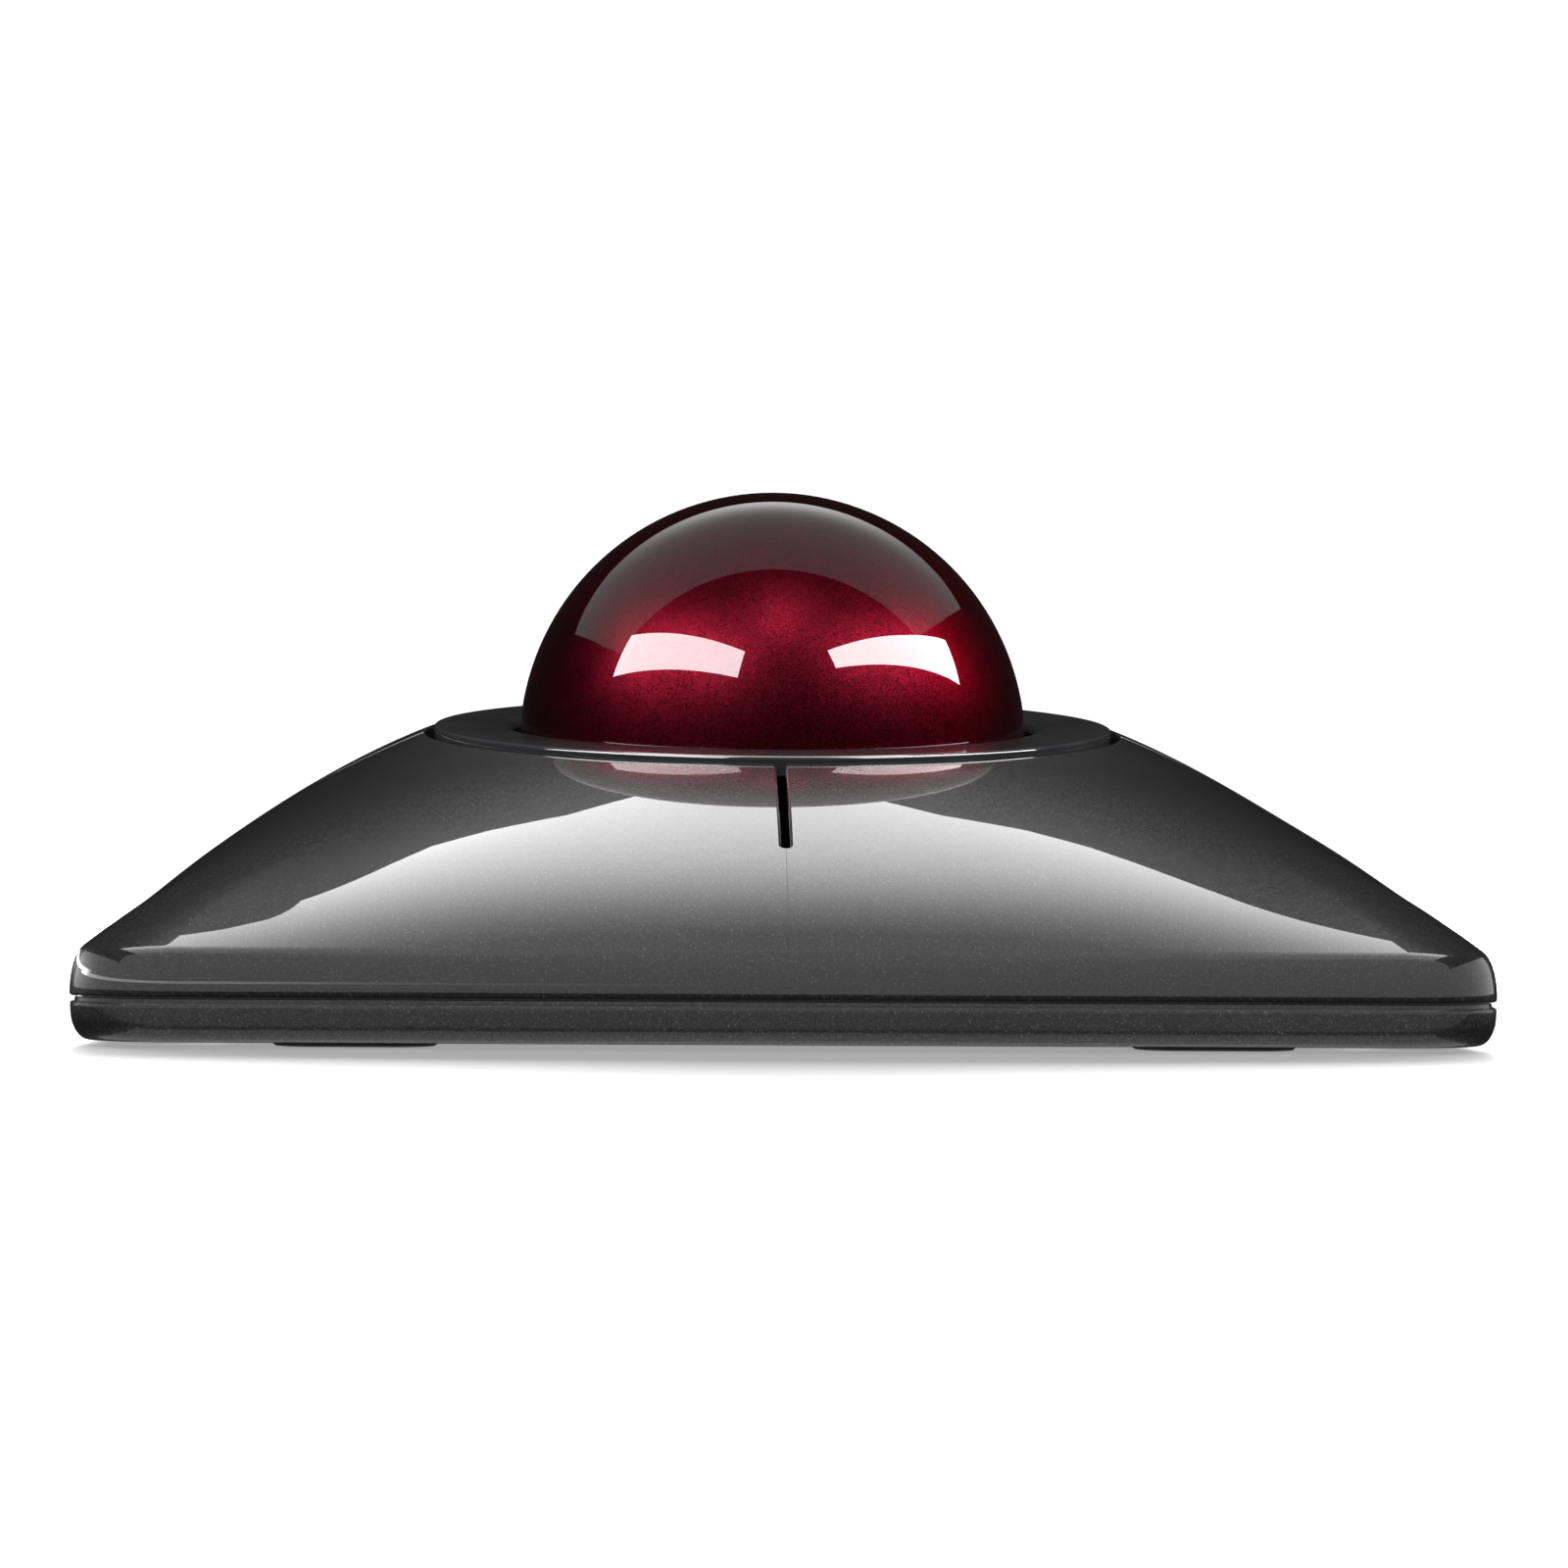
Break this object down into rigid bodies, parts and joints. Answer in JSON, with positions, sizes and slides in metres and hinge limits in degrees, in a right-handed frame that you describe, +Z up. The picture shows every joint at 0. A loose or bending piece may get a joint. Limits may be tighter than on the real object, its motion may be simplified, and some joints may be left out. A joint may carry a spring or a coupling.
{
  "type": "trackball mouse",
  "caption": "Cordless trackball mouse: a large ball in a tilted ring on a low square hill whose top panel flexes as press keys.",
  "frame": {"origin": "on the desk under the ball's centre, at the middle of the footprint", "axes": "+Z up, +Y to the back, -Y the front edge where the wrist comes from, +X to the user's right"},
  "size_m": [0.133, 0.149, 0.0579],
  "materials": {
    "gloss_panel": "deep gloss lacquer over a fine metal flake",
    "lower_case": "satin gloss with fine metal flake",
    "ring_gloss": "piano black, polished",
    "ball_ruby": "ruby core with dark speckle under a clear polished coat",
    "cup_plastic": "fine matte moulding",
    "bearing_ceramic": null,
    "lens_clear": "clear moulded optic",
    "circuit_board": "solder mask over glass fibre",
    "ribbon_film": "flat film cable",
    "component_black": "moulded component body",
    "plunger_red": "moulded switch plunger",
    "battery_wrap": "foil pouch",
    "steel": "plated steel",
    "foot_rubber": "soft matte pad",
    "small_control": "satin moulding"
  },
  "bodies": {
    "housing": {"top_shell": "gloss_panel", "lower_shell": "lower_case", "bezel_ring": "ring_gloss", "ball_cup": "cup_plastic", "bearing_ball_1": "bearing_ceramic", "bearing_ball_2": "bearing_ceramic", "bearing_ball_3": "bearing_ceramic", "left_sensor_lens": "lens_clear", "right_sensor_lens": "lens_clear", "left_optical_sensor": "component_black", "right_optical_sensor": "component_black", "left_sensor_board": "circuit_board", "right_sensor_board": "circuit_board", "front_switch_board": "circuit_board", "rear_switch_board": "circuit_board", "front_ribbon_cable": "ribbon_film", "rear_ribbon_cable": "ribbon_film", "front_left_switch": "component_black", "front_right_switch": "component_black", "rear_left_switch": "component_black", "rear_right_switch": "component_black", "main_board": "circuit_board", "battery": "battery_wrap", "usb_socket": "steel", "controller_chip": "component_black", "radio_module": "steel", "click_speaker": "component_black", "mode_switch_body": "steel", "pairing_switch_body": "component_black", "foot_pad_1": "foot_rubber", "foot_pad_2": "foot_rubber", "foot_pad_3": "foot_rubber", "foot_pad_4": "foot_rubber", "case_screw_1": "steel", "case_screw_2": "steel", "case_screw_3": "steel", "case_screw_4": "steel", "cup_screw_1": "steel", "cup_screw_2": "steel", "cup_screw_3": "steel", "cup_screw_4": "steel"},
    "ball": {"trackball": "ball_ruby"},
    "front_left_button": {"front_left_key": "gloss_panel"},
    "front_left_actuator": {"front_left_plunger": "plunger_red"},
    "front_right_button": {"front_right_key": "gloss_panel"},
    "front_right_actuator": {"front_right_plunger": "plunger_red"},
    "rear_left_button": {"rear_left_key": "gloss_panel"},
    "rear_left_actuator": {"rear_left_plunger": "plunger_red"},
    "rear_right_button": {"rear_right_key": "gloss_panel"},
    "rear_right_actuator": {"rear_right_plunger": "plunger_red"},
    "mode_selector": {"mode_slider": "small_control"},
    "pairing_push": {"pairing_button": "small_control"}
  },
  "joints": [
    {"name": "trackball_roll", "type": "hinge", "parent": "housing", "child": "ball", "pos_m": [0, 0, 0.0304], "axis": [1, 0, 0], "continuous": true},
    {"name": "front_right_press", "type": "hinge", "parent": "housing", "child": "front_right_button", "pos_m": [0.03075, -0.037, 0.024], "axis": [-0.8008, -0.599, 0], "range_deg": [0, 1.6], "stiffness_Nm_per_rad": 0.35, "springref_deg": -0.69},
    {"name": "front_right_plunge", "type": "slide", "parent": "housing", "child": "front_right_actuator", "axis": [0, 0, -1], "range_m": [0, 0.0004]},
    {"name": "front_left_press", "type": "hinge", "parent": "housing", "child": "front_left_button", "pos_m": [-0.03075, -0.037, 0.024], "axis": [-0.8008, 0.599, 0], "range_deg": [0, 1.6], "stiffness_Nm_per_rad": 0.35, "springref_deg": -0.69},
    {"name": "front_left_plunge", "type": "slide", "parent": "housing", "child": "front_left_actuator", "axis": [0, 0, -1], "range_m": [0, 0.0004]},
    {"name": "rear_right_press", "type": "hinge", "parent": "housing", "child": "rear_right_button", "pos_m": [0.03075, 0.0275, 0.025], "axis": [0.5953, -0.8035, 0], "range_deg": [0, 1.6], "stiffness_Nm_per_rad": 0.35, "springref_deg": -0.69},
    {"name": "rear_right_plunge", "type": "slide", "parent": "housing", "child": "rear_right_actuator", "axis": [0, 0, -1], "range_m": [0, 0.0004]},
    {"name": "rear_left_press", "type": "hinge", "parent": "housing", "child": "rear_left_button", "pos_m": [-0.03075, 0.0275, 0.025], "axis": [0.5953, 0.8035, 0], "range_deg": [0, 1.6], "stiffness_Nm_per_rad": 0.35, "springref_deg": -0.69},
    {"name": "rear_left_plunge", "type": "slide", "parent": "housing", "child": "rear_left_actuator", "axis": [0, 0, -1], "range_m": [0, 0.0004]},
    {"name": "mode_slide", "type": "slide", "parent": "housing", "child": "mode_selector", "axis": [1, 0, 0], "range_m": [-0.0025, 0.0025]},
    {"name": "pairing_press", "type": "slide", "parent": "housing", "child": "pairing_push", "axis": [0, 0, 1], "range_m": [0, 0.0003], "stiffness_N_per_m": 700, "springref_m": -0.001}
  ],
  "couplings": [
    {"joint": "front_right_plunge", "follows": "front_right_press", "m_per_rad": 0.00806},
    {"joint": "front_left_plunge", "follows": "front_left_press", "m_per_rad": 0.00806},
    {"joint": "rear_right_plunge", "follows": "rear_right_press", "m_per_rad": 0.00741},
    {"joint": "rear_left_plunge", "follows": "rear_left_press", "m_per_rad": 0.00741}
  ]
}
